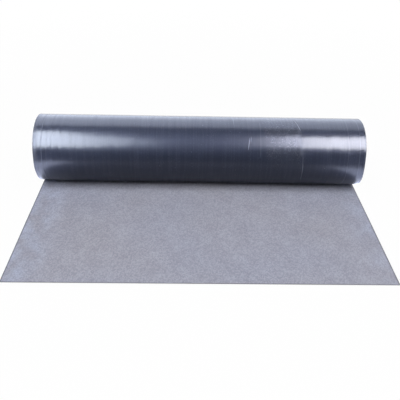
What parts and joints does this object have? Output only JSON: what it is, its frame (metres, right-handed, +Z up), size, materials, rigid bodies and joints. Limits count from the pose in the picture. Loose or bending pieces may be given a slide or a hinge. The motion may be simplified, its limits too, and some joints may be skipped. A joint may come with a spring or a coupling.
{
  "type": "roll of roofing felt",
  "caption": "Roll of mineral-surfaced bitumen roofing felt lying on its side, shiny film outwards, with a length of the sheet unrolled flat in front of it.",
  "frame": {"origin": "on the floor, at the middle of the rectangle that the roll and its lead cover", "axes": "+X along the roll, -Y the way the lead is unrolled, +Z up"},
  "size_m": [1, 0.6043, 0.2089],
  "materials": {
    "bitumen_felt": "bitumen felt: glossy blue-black film on the underside, which faces out on the roll, and a matt grey fine mineral face on the lead"
  },
  "bodies": {
    "root": {"felt_roll": "bitumen_felt"}
  },
  "joints": []
}
